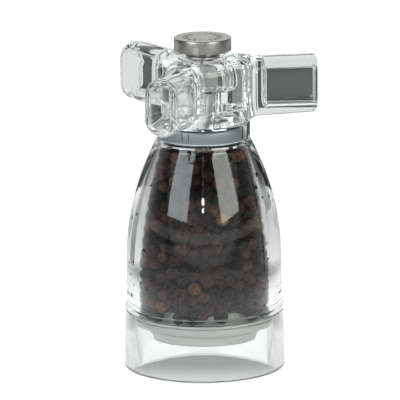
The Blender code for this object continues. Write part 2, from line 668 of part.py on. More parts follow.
def arm_shape():
    """One arm along +X: its underside rises towards the end, whose edge is rounded."""
    centre = HUB_TOP_Z - ARM_HEIGHT / 2
    root = HUB_RADIUS - SOCKET_CHAMFER - ARM_END_EDGE
    stations = [(root, ARM_WIDTH, ARM_HEIGHT + ARM_DRAFT, centre - ARM_DRAFT / 2)]
    for share, inset_share in ARM_END_STATIONS:
        x, inset = ARM_REACH - ARM_END_EDGE * share, ARM_END_EDGE * inset_share
        stations.append((x, ARM_WIDTH - 2 * inset, ARM_HEIGHT - 2 * inset, centre))
    return lofted_shape([obround(width, height, x, z) for x, width, height, z in stations])


def socket_shape():
    """The hollow that is cored into an arm from its end."""
    centre = HUB_TOP_Z - ARM_HEIGHT / 2
    floor = ARM_REACH - SOCKET_DEPTH
    chamfer = SOCKET_CHAMFER
    stations = [
        (floor, SOCKET_WIDTH - 2 * chamfer, SOCKET_HEIGHT - 2 * chamfer),
        (floor + chamfer, SOCKET_WIDTH, SOCKET_HEIGHT),
        (ARM_REACH + chamfer, SOCKET_WIDTH, SOCKET_HEIGHT),
    ]
    return lofted_shape([obround(width, height, x, centre) for x, width, height in stations])


def make_handle(material, parent):
    """The tap handle in clear acrylic: a hub with a pocket above and a spigot below, and three arms."""
    bore = HOLE_CORNER + GAP
    spigot = BUSH_BORE - GAP
    recess_top = HUB_FOOT_Z + RECESS_DEPTH
    recess_outer = HUB_RADIUS - RECESS_WALL
    pedestal = TENON_HOLE / math.sqrt(2) + PEDESTAL_WALL
    shoulder = (HUB_RADIUS - HUB_SHOULDER, HUB_TOP_Z - HUB_SHOULDER)
    corner = (POCKET_RADIUS - POCKET_CORNER, POCKET_FLOOR_Z + POCKET_CORNER)
    mouth = CAP_RADIUS + GAP
    profile = [
        (bore, HUB_FOOT_Z - SPIGOT_LENGTH),
        (spigot, HUB_FOOT_Z - SPIGOT_LENGTH),
        (spigot, HUB_FOOT_Z),
        (RECESS_INNER_RADIUS, HUB_FOOT_Z),
        (RECESS_INNER_RADIUS, recess_top),
        (recess_outer, recess_top),
        (recess_outer, HUB_FOOT_Z),
        (HUB_RADIUS - HUB_FOOT_EDGE, HUB_FOOT_Z),
        (HUB_RADIUS, HUB_FOOT_Z + HUB_FOOT_EDGE),
    ]
    profile += arc(shoulder, HUB_SHOULDER, 0, 90)
    profile += [(mouth, HUB_TOP_Z), (mouth, POCKET_LEDGE_Z), (POCKET_RADIUS, POCKET_LEDGE_Z)]
    profile += arc(corner, POCKET_CORNER, 0, -90)
    profile += [(pedestal, POCKET_FLOOR_Z), (pedestal, PEDESTAL_TOP_Z), (bore, PEDESTAL_TOP_Z)]
    handle = make_turned("handle", profile, material, parent, STEPS_LARGE)
    for index in range(ARM_COUNT):
        turn = Matrix.Rotation(2 * math.pi * index / ARM_COUNT, 4, "Z")
        arm = arm_shape()
        bmesh.ops.transform(arm, matrix=turn, verts=arm.verts)
        add_boolean(handle, as_cutter(add_object(f"arm_{index + 1}", arm, parent=parent)), "UNION")
        socket = socket_shape()
        bmesh.ops.transform(socket, matrix=turn, verts=socket.verts)
        add_boolean(handle, as_cutter(add_object(f"socket_{index + 1}", socket, parent=parent)))
    tenon_foot = PEDESTAL_TOP_Z - TENON_LENGTH - GAP
    add_boolean(handle, make_square_cutter("tenon_hole", TENON_HOLE, tenon_foot, INSERT_TOP_Z, parent))
    return handle


def make_drive_insert(material, parent):
    """The square metal block that takes the spindle, with a square tenon in the pedestal."""
    half, tenon = INSERT_SIDE / 2, TENON_SIDE / 2
    heights = [
        (tenon, PEDESTAL_TOP_Z - TENON_LENGTH),
        (tenon, INSERT_FOOT_Z),
        (half, INSERT_FOOT_Z),
        (half, INSERT_TOP_Z - SPINDLE_CHAMFER),
        (half - SPINDLE_CHAMFER, INSERT_TOP_Z),
    ]
    corners = ((1, 1), (-1, 1), (-1, -1), (1, -1))
    sections = [[Vector((x * side, y * side, z)) for x, y in corners] for side, z in heights]
    block = add_object("drive_insert", lofted_shape(sections), material, parent)
    low, high = PEDESTAL_TOP_Z - TENON_LENGTH - GAP, INSERT_TOP_Z + GAP
    add_boolean(block, make_square_cutter("insert_square", SQUARE_HOLE, low, high, parent))
    return block


# ---- Knob ------------------------------------------------------------------------------------
def make_adjusting_knob(material, parent):
    """The round metal knob, with a boss below and a blind bore for its threaded insert."""
    bore = THREAD_INSERT_RADIUS + GAP
    bore_top = KNOB_TOP_Z - KNOB_TOP_WALL
    profile = [
        (bore, KNOB_BOSS_Z),
        (KNOB_BOSS_RADIUS, KNOB_BOSS_Z),
        (KNOB_BOSS_RADIUS, KNOB_FOOT_Z),
        (KNOB_RADIUS - KNOB_EDGE, KNOB_FOOT_Z),
        (KNOB_RADIUS, KNOB_FOOT_Z + KNOB_EDGE),
        (KNOB_RADIUS, KNOB_TOP_Z - KNOB_EDGE),
        (KNOB_RADIUS - KNOB_EDGE, KNOB_TOP_Z),
        (0, KNOB_TOP_Z),
        (0, bore_top),
        (bore, bore_top),
    ]
    return make_turned("adjusting_knob", profile, material, parent, STEPS_LARGE)


def make_thread_insert(material, parent):
    """The brass sleeve in the knob that runs on the spindle's thread."""
    height = STEM_TOP_Z - KNOB_BOSS_Z - GAP
    return make_washer(
        "thread_insert", THREAD_INSERT_RADIUS, THREAD_INSERT_BORE, KNOB_BOSS_Z + GAP, height, material, parent
    )


# ---- The mill ----------------------------------------------------------------------------------
def main():
    clear_scene()
    acrylic = make_material("clear_acrylic", (0.90, 0.93, 0.92), 0.05, transmission=0.9)
    milky = make_material("milky_plastic", (0.80, 0.82, 0.81), 0.35, transmission=0.3)
    nylon = make_material("white_nylon", (0.82, 0.82, 0.80), 0.45)
    chrome = make_material("chrome", (0.78, 0.80, 0.81), 0.08, metallic=1.0)
    nickel = make_material("satin_nickel", (0.53, 0.52, 0.50), 0.35, metallic=1.0)
    steel = make_material("steel", (0.60, 0.60, 0.60), 0.30, metallic=1.0)
    brass = make_material("brass", (0.72, 0.55, 0.25), 0.30, metallic=1.0)
    burr = make_material("burr_steel", (0.22, 0.22, 0.23), 0.45, metallic=1.0)
    rubber = make_material("seal_rubber", (0.75, 0.76, 0.75), 0.60)
    pepper = make_material("pepper", (0.09, 0.055, 0.035), 0.75)

    body = make_axis("body_axis")
    make_body_shell(acrylic, body)
    make_neck_collar(chrome, body)
    make_neck_bush(nylon, body)
    make_burr_carrier(milky, body)
    make_carrier_seal(rubber, body)
    make_grinding_ring(burr, body)
    make_spindle_guide(nylon, body)
    for index, angle in enumerate(screw_angles(), start=1):
        make_guide_screw(index, angle, steel, body)
    make_peppercorn_fill(pepper, body)

    drive = make_axis("drive_axis")
    make_guide_bush(nylon, drive)
    make_burr_spring(steel, drive)

    spindle = make_axis("spindle_axis")
    spindle.parent = drive
    make_spindle(steel, spindle)
    make_grinding_cone(burr, spindle)
    make_washer(
        "spring_washer", SPRING_WASHER_RADIUS, HOLE_CORNER + GAP, SPRING_WASHER_Z, SPRING_WASHER_THICKNESS,
        steel, spindle,
    )
    make_washer(
        "lower_washer", LOWER_WASHER_RADIUS, STEM_RADIUS + GAP, LOWER_WASHER_Z, LOWER_WASHER_THICKNESS, steel, spindle
    )
    make_retaining_nut(steel, spindle)

    head = make_axis("head_axis")
    head.parent = drive
    make_handle(acrylic, head)
    make_drive_insert(nickel, head)
    make_washer("hub_cap", CAP_RADIUS, STEM_RADIUS + 2 * GAP, CAP_FOOT_Z, CAP_THICKNESS, acrylic, head)

    knob = make_axis("knob_axis")
    knob.parent = head
    make_adjusting_knob(nickel, knob)
    make_thread_insert(brass, knob)
    make_washer("knob_washer", WASHER_RADIUS, STEM_RADIUS + GAP, WASHER_FOOT_Z, WASHER_THICKNESS, nickel, knob)


main()
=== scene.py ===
# %% [markdown]
# # A clear pepper mill with a tap handle
#
# The mill is a bell of thick clear acrylic, full of whole peppercorns, with a bright ring at its
# neck, a clear handle shaped like a garden tap's, and a satin metal knob on top. Clear plastic
# shows whatever is around it and inside it, so this lesson builds every inner surface as carefully
# as the outer ones: light only bends the right way through walls that have their real thickness.
#
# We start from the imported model, which gives every piece its place. All sizes in this script are in
# millimetres, and one helper turns them into Blender's metres when a mesh is made.

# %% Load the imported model
import json
import math

import bmesh
import bpy
import numpy as np
from mathutils import Matrix, Vector


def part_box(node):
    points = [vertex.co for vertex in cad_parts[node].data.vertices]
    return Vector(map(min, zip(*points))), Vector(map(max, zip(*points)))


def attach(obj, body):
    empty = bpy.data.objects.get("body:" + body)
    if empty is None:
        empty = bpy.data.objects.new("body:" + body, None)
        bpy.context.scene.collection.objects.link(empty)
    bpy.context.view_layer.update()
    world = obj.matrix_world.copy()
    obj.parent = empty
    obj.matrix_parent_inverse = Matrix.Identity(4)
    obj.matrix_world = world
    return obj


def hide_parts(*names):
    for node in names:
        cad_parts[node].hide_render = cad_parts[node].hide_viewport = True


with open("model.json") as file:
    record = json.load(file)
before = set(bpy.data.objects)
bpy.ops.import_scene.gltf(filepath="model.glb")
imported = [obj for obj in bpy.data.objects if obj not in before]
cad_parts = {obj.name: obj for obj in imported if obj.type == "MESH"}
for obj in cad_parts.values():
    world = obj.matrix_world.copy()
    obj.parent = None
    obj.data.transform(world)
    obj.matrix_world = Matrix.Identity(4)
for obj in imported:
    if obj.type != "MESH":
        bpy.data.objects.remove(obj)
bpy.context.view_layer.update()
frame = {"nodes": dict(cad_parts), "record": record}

MM = 0.001
TURN = 2 * math.pi
rng = np.random.default_rng(7)


def box_mm(node):
    """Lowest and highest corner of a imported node, in millimetres."""
    low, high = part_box(node)
    return np.array(low) / MM, np.array(high) / MM


# %% [markdown]
# ## Camera
#
# The mill is seen from a little above, with almost no perspective, as a long lens two metres away
# sees it. The camera's place is worked out from two angles, so it is easy to walk round the mill.

# %% The camera
VIEW_AZIMUTH = math.radians(-8.5)  # 0 looks along +Y
VIEW_ELEVATION = math.radians(13.0)
VIEW_ROLL = math.radians(-0.4)
VIEW_DISTANCE = 2.0
VIEW_WIDTH = 0.140  # how much the picture takes in, at the mill
VIEW_CENTRE = Vector((-0.0013, 0.0, 0.0591))

toward_camera = Vector((
    math.sin(VIEW_AZIMUTH) * math.cos(VIEW_ELEVATION),
    -math.cos(VIEW_AZIMUTH) * math.cos(VIEW_ELEVATION),
    math.sin(VIEW_ELEVATION),
))
camera_data = bpy.data.cameras.new("camera")
camera_data.sensor_width = 36.0
camera_data.lens = camera_data.sensor_width * VIEW_DISTANCE / VIEW_WIDTH
camera_data.clip_start = 0.05
camera_data.clip_end = 60.0
camera = bpy.data.objects.new("camera", camera_data)
bpy.context.scene.collection.objects.link(camera)
turn = toward_camera.to_track_quat("Z", "Y").to_matrix().to_4x4() @ Matrix.Rotation(VIEW_ROLL, 4, "Z")
camera.matrix_world = Matrix.Translation(VIEW_CENTRE + toward_camera * VIEW_DISTANCE) @ turn
bpy.context.scene.camera = camera
print("lens:", round(camera_data.lens))

# %% [markdown]
# ## Surfaces from arrays
#
# Most pieces here were turned on a lathe or moulded, so their surfaces are functions of two
# parameters. numpy works out all points of such a surface at once, and `foreach_set` hands them to
# the mesh without a Python loop over vertices. A solid must have its faces pointing outwards, or
# glass bends light the wrong way, so the helper measures the solid's signed volume and turns the
# faces round if it is negative.


# %% Helpers for meshes
def signed_volume(points, faces):
    """Volume of a closed mesh: a sixth of the sum, over its triangles, of a . (b x c)."""
    total = 0.0
    for i in range(1, faces.shape[1] - 1):
        a, b, c = points[faces[:, 0]], points[faces[:, i]], points[faces[:, i + 1]]
        total += np.einsum("ij,ij->i", a, np.cross(b, c)).sum() / 6
    return total


def make_piece(name, points, *face_sets, body, slot, material, replaces=(), attribute=None):
    """A finished piece from points in millimetres and arrays of faces, riding on a body."""
    if sum(signed_volume(points, faces) for faces in face_sets) < 0:
        face_sets = [faces[:, ::-1] for faces in face_sets]
    mesh = bpy.data.meshes.new(name)
    mesh.vertices.add(len(points))
    mesh.vertices.foreach_set("co", (points * MM).astype(np.float32).ravel())
    corners = np.concatenate([faces.ravel() for faces in face_sets])
    sizes = np.concatenate([np.full(len(faces), faces.shape[1]) for faces in face_sets])
    mesh.loops.add(len(corners))
    mesh.loops.foreach_set("vertex_index", corners.astype(np.int32))
    mesh.polygons.add(len(sizes))
    mesh.polygons.foreach_set("loop_start", (np.cumsum(sizes) - sizes).astype(np.int32))
    mesh.update(calc_edges=True)
    mesh.shade_smooth()
    if attribute is not None:
        layer = mesh.attributes.new(attribute[0], "FLOAT", "POINT")
        layer.data.foreach_set("value", attribute[1].astype(np.float32))
    mesh.materials.append(material)
    obj = bpy.data.objects.new(name, mesh)
    bpy.context.scene.collection.objects.link(obj)
    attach(obj, body)
    if replaces:
        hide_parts(*replaces)
    print(f"{name}: {len(points)} points, {len(sizes)} faces")
    return obj


def grid_faces(rows, columns, wrap_rows=False):
    """Quads of a grid whose columns close on themselves, and whose rows may."""
    row = np.arange(rows if wrap_rows else rows - 1)
    column = np.arange(columns)
    r, c = [index.ravel() for index in np.meshgrid(row, column, indexing="ij")]
    r2, c2 = (r + 1) % rows, (c + 1) % columns
    return np.stack([r * columns + c, r * columns + c2, r2 * columns + c2, r2 * columns + c], axis=1)


def rounded(corners, steps=5):
    """An outline from (radius, height, rounding) corners: each becomes an arc that touches both sides."""
    corners = np.asarray(corners, float)
    points, radii = corners[:, :2], corners[:, 2]
    outline = []
    for i, radius in enumerate(radii):
        here, before, after = points[i], points[i - 1], points[(i + 1) % len(points)]
        if radius <= 0:
            outline.append(here[None])
            continue
        u = (before - here) / np.linalg.norm(before - here)
        v = (after - here) / np.linalg.norm(after - here)
        half = math.acos(np.clip(u @ v, -1, 1)) / 2
        reach = radius / math.tan(half)
        middle = here + (u + v) / np.linalg.norm(u + v) * radius / math.sin(half)
        start, end = here + u * reach - middle, here + v * reach - middle
        sweep = math.atan2(start[0] * end[1] - start[1] * end[0], start @ end)
        angle = math.atan2(start[1], start[0]) + sweep * np.linspace(0, 1, steps)
        outline.append(middle + radius * np.stack([np.cos(angle), np.sin(angle)], axis=1))
    return np.concatenate(outline)


def turned(outline, segments):
    """Points of a closed (radius, height) outline carried once around the axis: (r cos a, r sin a, h)."""
    angle = np.linspace(0, TURN, segments, endpoint=False)
    radius, height = outline[:, :1], outline[:, 1:]
    x, y = radius * np.cos(angle), radius * np.sin(angle)
    return np.stack([x, y, np.broadcast_to(height, x.shape)], axis=2).reshape(-1, 3)


def turned_piece(name, outline, segments=160, **riding):
    """A ring-like piece with a hole along the axis, turned from a closed outline."""
    faces = grid_faces(len(outline), segments, wrap_rows=True)
    return make_piece(name, turned(outline, segments), faces, **riding)


# %% [markdown]
# ## Finishes
#
# Each finish is a small node tree on the piece's own Object coordinates, so that its pattern keeps
# its real size in millimetres. Moulded acrylic is never perfectly flat: a very faint, slow bump
# makes its reflections swim a little, as they do on the real mill. Satin nickel gets fine turning
# lines, and chrome stays almost a mirror, with a trace of wiping marks.


# %% Helpers for finishes
def new_finish(name, colour, roughness, metallic=0.0, transmission=0.0, ior=1.49):
    """A Principled material and its tree, with the values that are the same all over set on the shader."""
    material = bpy.data.materials.new(name)
    material.use_nodes = True
    tree = material.node_tree
    shader = tree.nodes["Principled BSDF"]
    shader.inputs["Base Color"].default_value = (*colour, 1.0)
    shader.inputs["Roughness"].default_value = roughness
    shader.inputs["Metallic"].default_value = metallic
    shader.inputs["Transmission Weight"].default_value = transmission
    shader.inputs["IOR"].default_value = ior
    return material, tree, shader


def add_node(tree, kind, **values):
    """A node with its sockets and properties set by name."""
    node = tree.nodes.new(kind)
    for key, value in values.items():
        if key in node.inputs:
            node.inputs[key].default_value = value
        else:
            setattr(node, key, value)
    return node


def object_noise(tree, scale, detail=3.0, stretch=(1, 1, 1)):
    """Noise on Object coordinates, with its scale in features per millimetre."""
    place = add_node(tree, "ShaderNodeTexCoord")
    mapping = add_node(tree, "ShaderNodeMapping")
    mapping.inputs["Scale"].default_value = [s / MM for s in stretch]
    noise = add_node(tree, "ShaderNodeTexNoise", Scale=scale, Detail=detail)
    tree.links.new(place.outputs["Object"], mapping.inputs["Vector"])
    tree.links.new(mapping.outputs["Vector"], noise.inputs["Vector"])
    return noise


def add_bump(tree, shader, height, strength, distance_mm):
    """A bump of a height in millimetres, under the shader's normal."""
    bump = add_node(tree, "ShaderNodeBump", Strength=strength, Distance=distance_mm * MM)
    tree.links.new(height, bump.inputs["Height"])
    tree.links.new(bump.outputs["Normal"], shader.inputs["Normal"])


def vary(tree, socket, source, low, high):
    """Drives a socket from a 0 to 1 source, between two values."""
    spread = add_node(tree, "ShaderNodeMapRange")
    spread.inputs["To Min"].default_value = low
    spread.inputs["To Max"].default_value = high
    tree.links.new(source, spread.inputs["Value"])
    tree.links.new(spread.outputs["Result"], socket)


# %% The finishes
def clear_acrylic(name, tint, wave):
    """Thick clear acrylic with a slow waviness of the given height in millimetres."""
    material, tree, shader = new_finish(name, tint, 0.0, transmission=1.0)
    slow = object_noise(tree, 0.12, 1.0)
    add_bump(tree, shader, slow.outputs["Fac"], 1.0, wave)
    marks = object_noise(tree, 1.5, 4.0)
    vary(tree, shader.inputs["Roughness"], marks.outputs["Fac"], 0.0, 0.03)
    return material


def satin_metal(name, colour, roughness, stretch, strength):
    """Metal with fine lines, and its tree and shader: noise that is squeezed along one direction."""
    material, tree, shader = new_finish(name, colour, roughness, metallic=1.0)
    lines = object_noise(tree, 2.0, 6.0, stretch)
    add_bump(tree, shader, lines.outputs["Fac"], strength, 0.05)
    vary(tree, shader.inputs["Roughness"], lines.outputs["Fac"], roughness * 0.7, roughness * 1.3)
    return material, tree, shader


def moulded_plastic(name, colour, roughness, transmission=0.0):
    """Plastic straight from the mould, with a fine grain and slightly uneven gloss."""
    material, tree, shader = new_finish(name, colour, roughness, transmission=transmission)
    grain = object_noise(tree, 4.0, 3.0)
    add_bump(tree, shader, grain.outputs["Fac"], 0.3, 0.03)
    vary(tree, shader.inputs["Roughness"], grain.outputs["Fac"], roughness * 0.8, roughness * 1.2)
    return material


shell_acrylic = clear_acrylic("shell_acrylic", (0.975, 0.99, 0.985), 0.02)
handle_acrylic = clear_acrylic("handle_acrylic", (0.98, 0.99, 0.985), 0.03)
cap_acrylic = clear_acrylic("cap_acrylic", (0.98, 0.99, 0.985), 0.02)
chrome = satin_metal("chrome", (0.55, 0.60, 0.62), 0.02, (1, 1, 1), 0.01)[0]
satin_nickel = satin_metal("satin_nickel", (0.56, 0.54, 0.51), 0.32, (1, 1, 0.15), 0.15)[0]
plain_steel = satin_metal("plain_steel", (0.62, 0.61, 0.59), 0.28, (1, 1, 0.1), 0.15)[0]
burr_steel = satin_metal("burr_steel", (0.25, 0.25, 0.26), 0.40, (1, 1, 1), 0.3)[0]
bright_brass = satin_metal("bright_brass", (0.72, 0.55, 0.25), 0.25, (1, 1, 0.1), 0.1)[0]
white_nylon = moulded_plastic("white_nylon", (0.74, 0.75, 0.72), 0.45)
milky_plastic = moulded_plastic("milky_plastic", (0.86, 0.87, 0.83), 0.25, transmission=0.35)
seal_rubber = moulded_plastic("seal_rubber", (0.70, 0.72, 0.70), 0.60)

# %% [markdown]
# ## The body shell
#
# The bell is one thick-walled moulding. Its outside rises straight from the foot past a fine step,
# and then bends inwards as a parabola up to the shoulder. The chamber inside bends more slowly, so
# the wall is thickest half way up. Below a shoulder the bore widens into the open skirt.

# %% The body shell
FOOT_RADIUS = box_mm("body_shell")[1][0]
SKIRT_BORE = FOOT_RADIUS - 4.0
BELLY_RADIUS = 27.3
STEP_Z = 22.4
BELL_START_Z = 40.0
SHOULDER_Z = box_mm("neck_collar")[0][2] - 0.3
SHOULDER_RADIUS = 16.4
CHAMBER_FLOOR_Z = 19.5
CHAMBER_RADIUS = 22.9
CHAMBER_CURVE_Z = 25.0
CHAMBER_TOP_RADIUS = 15.2
ROOF_HEIGHT = 2.5
NECK_TOP_Z = box_mm("body_shell")[1][2]
NECK_BORE = 11.6
NECK_RADIUS = 14.9


def bend(start, end, count):
    """A parabola from start, upright there, to end: the inset grows as the square of the height."""
    share = np.linspace(0, 1, count)
    radius = start[0] + (end[0] - start[0]) * share**2
    return np.stack([radius, start[1] + (end[1] - start[1]) * share], axis=1)


def chamber_radius(height):
    """Radius of the chamber's wall at a height."""
    top = SHOULDER_Z - ROOF_HEIGHT
    share = np.clip((height - CHAMBER_CURVE_Z) / (top - CHAMBER_CURVE_Z), 0, 1)
    return CHAMBER_RADIUS + (CHAMBER_TOP_RADIUS - CHAMBER_RADIUS) * share**2


foot = rounded([(SKIRT_BORE, 12, 0), (SKIRT_BORE, 0, 0.6), (FOOT_RADIUS, 0, 0.6), (FOOT_RADIUS, 8, 0)])[1:-1]
step = rounded([(FOOT_RADIUS, 6, 0), (BELLY_RADIUS + 0.4, STEP_Z - 0.4, 0.12), (BELLY_RADIUS, STEP_Z, 0.12),
                (BELLY_RADIUS - 0.15, 30, 0)])[1:-1]
bell = bend((BELLY_RADIUS - 0.3, BELL_START_Z), (SHOULDER_RADIUS, SHOULDER_Z), 90)
neck = rounded([
    (SHOULDER_RADIUS, SHOULDER_Z - 1, 0),
    (NECK_RADIUS, SHOULDER_Z, 0.2),
    (NECK_RADIUS, NECK_TOP_Z, 0.3),
    (NECK_BORE, NECK_TOP_Z, 0.3),
    (NECK_BORE, SHOULDER_Z, 0.5),
    (CHAMBER_TOP_RADIUS - 1.2, SHOULDER_Z - 1.2, 1.0),
    (CHAMBER_TOP_RADIUS, SHOULDER_Z - ROOF_HEIGHT, 0),
])[1:-1]
chamber = bend((CHAMBER_RADIUS, CHAMBER_CURVE_Z), (CHAMBER_TOP_RADIUS, SHOULDER_Z - ROOF_HEIGHT), 70)[::-1]
seat = rounded([
    (CHAMBER_RADIUS, 24, 0),
    (CHAMBER_RADIUS, CHAMBER_FLOOR_Z, 0.15),
    (SKIRT_BORE - 0.2, CHAMBER_FLOOR_Z, 0.15),
    (SKIRT_BORE, 10, 0),
])[1:-1]
shell_outline = np.concatenate([foot, step, bell, neck, chamber, seat])
turned_piece("clear_body_shell", shell_outline, 256, body="body", slot="clear_acrylic",
             material=shell_acrylic, replaces=["body_shell"])

# %% [markdown]
# ## The neck collar
#
# A pressed and plated ring with rolled edges. Chrome has no colour of its own: what one sees is the
# white table and the dark room in it, so only its edges need care.

# %% The neck collar
collar_low, collar_high = box_mm("neck_collar")
COLLAR_RADIUS = collar_high[0]
collar_outline = rounded([
    (NECK_RADIUS + 0.3, collar_low[2], 0.1),
    (COLLAR_RADIUS, collar_low[2], 0.6),
    (COLLAR_RADIUS, collar_high[2], 0.6),
    (NECK_BORE + 1.3, collar_high[2], 0.2),
    (NECK_BORE + 1.3, collar_high[2] - 0.8, 0.2),
    (NECK_RADIUS + 0.3, collar_high[2] - 0.8, 0.1),
])
turned_piece("chrome_collar", collar_outline, 192, body="body", slot="chrome", material=chrome,
             replaces=["neck_collar"])

# %% [markdown]
# ## The handle, from a distance field
#
# The tap handle is one moulding in which a round hub flows into three arms, with pockets cored out
# of all four. Such flowing joins are hard to model with loops of quads, but easy to write as a
# distance field: a number at each point of space that is negative inside the plastic. Blending two
# fields gives a fillet. A surface net then finds the surface: every cell of a fine grid in which the
# field changes sign gets one vertex, and each grid edge that crosses the surface gets one quad.

# %% Fields that can be joined and cut
HUB_TOP = box_mm("hub_cap")[1][2]
HUB_FOOT = collar_high[2] + 0.3
HUB_RADIUS = 16.0
ARM_REACH = box_mm("handle")[1][0]
ARM_SPREAD = box_mm("handle")[1][1] - 0.03
ARM_WIDTH, ARM_HEIGHT, ARM_DRAFT = 12.2, 20.6, 0.8
SOCKET_WIDTH, SOCKET_HEIGHT, SOCKET_DEPTH = 7.7, 14.4, 19.3
SOCKET_CORNER = 2.3
POCKET_RADIUS, POCKET_DEPTH = 8.0, 11.2
PEDESTAL_RADIUS, PEDESTAL_HEIGHT = 5.65, 2.0
SPIGOT_FOOT = box_mm("handle")[0][2]
SPIGOT_RADIUS = 9.0
SPINDLE_BORE = 4.26
HUB_SHOULDER, HUB_EDGE = 5.3, 0.8  # rounding of the hub above and below
ARM_ROOT, ARM_FILLET, ARM_EDGE = 6.0, 4.0, 1.4  # where an arm starts, its fillet to the hub, its end's edge
SOCKET_FLOOR, SOCKET_RIM = 1.8, 0.7  # rounding of a socket's floor and rim
POCKET_CORNER, SOFT_EDGE, FINE_EDGE = 2.4, 0.8, 0.5
SEAT_RADIUS, SEAT_DEPTH = 8.6, 2.4  # the seat that the cap lies in
RECESS_INNER, RECESS_OUTER, RECESS_DEPTH = 10.5, 13.2, 5  # the groove in the hub's underside
NET_CELL = 0.45


def join(a, b, fillet):
    """Union of two fields, with a concave fillet where they meet."""
    share = np.maximum(fillet - np.abs(a - b), 0) / fillet
    return np.minimum(a, b) - share**2 * fillet / 4


def keep_both(a, b, edge):
    """Intersection of two fields, with the edge between them rounded."""
    return -join(-a, -b, edge)


def cut(a, b, edge):
    """Field a with field b taken out of it, with the rim rounded."""
    return keep_both(a, -b, edge)


def extent(position, low, high):
    """Field of the slab between two planes."""
    return np.maximum(low - position, position - high)


def obround(across, up, width, height):
    """Field of an upright outline with round ends."""
    radius = width / 2
    return np.hypot(across, np.maximum(np.abs(up) - (height / 2 - radius), 0)) - radius


def rounded_slot(across, up, width, height, corner):
    """Field of an upright rectangle with rounded corners."""
    side = np.abs(across) - width / 2 + corner
    end = np.abs(up) - height / 2 + corner
    return np.hypot(np.maximum(side, 0), np.maximum(end, 0)) + np.minimum(np.maximum(side, end), 0) - corner


def handle_field(x, y, z):
    """The tap handle: hub, arms and spigot joined, then sockets, pocket, bore and recess cut out."""
    radius = np.hypot(x, y)
    hub = keep_both(radius - HUB_RADIUS, z - HUB_TOP, HUB_SHOULDER)
    solid = keep_both(hub, HUB_FOOT - z, HUB_EDGE)
    sockets = np.full(x.shape, 1e3)
    centre = HUB_TOP - ARM_HEIGHT / 2
    for angle in np.arange(3) * TURN / 3:
        along = x * np.cos(angle) + y * np.sin(angle)
        across = y * np.cos(angle) - x * np.sin(angle)
        sink = ARM_DRAFT * (1 - np.clip((along - HUB_RADIUS) / (ARM_REACH - HUB_RADIUS), 0, 1))
        arm = obround(across, z - centre + sink / 2, ARM_WIDTH, ARM_HEIGHT + sink)
        arm = keep_both(arm, along - ARM_REACH, ARM_EDGE)
        arm = np.maximum(arm, ARM_ROOT - along)
        solid = join(solid, arm, ARM_FILLET)
        socket = rounded_slot(across, z - centre, SOCKET_WIDTH, SOCKET_HEIGHT, SOCKET_CORNER)
        socket = keep_both(socket, ARM_REACH - SOCKET_DEPTH - along, SOCKET_FLOOR)
        sockets = np.minimum(sockets, socket)
    solid = np.maximum(solid, np.maximum(z - HUB_TOP, np.abs(y) - ARM_SPREAD))
    spigot = np.maximum(radius - SPIGOT_RADIUS, extent(z, SPIGOT_FOOT, HUB_FOOT + 3))
    solid = join(solid, spigot, SOFT_EDGE)
    solid = cut(solid, sockets, SOCKET_RIM)
    floor = HUB_TOP - POCKET_DEPTH
    pocket = keep_both(radius - POCKET_RADIUS, floor - z, POCKET_CORNER)
    pedestal = np.maximum(radius - PEDESTAL_RADIUS, z - floor - PEDESTAL_HEIGHT)
    solid = cut(solid, cut(pocket, pedestal, SOFT_EDGE), SOFT_EDGE)
    solid = cut(solid, np.maximum(radius - SEAT_RADIUS, HUB_TOP - SEAT_DEPTH - z), FINE_EDGE)
    solid = cut(solid, radius - SPINDLE_BORE, FINE_EDGE)
    recess = np.maximum(extent(radius, RECESS_INNER, RECESS_OUTER), z - HUB_FOOT - RECESS_DEPTH)
    return cut(solid, recess, SOFT_EDGE)


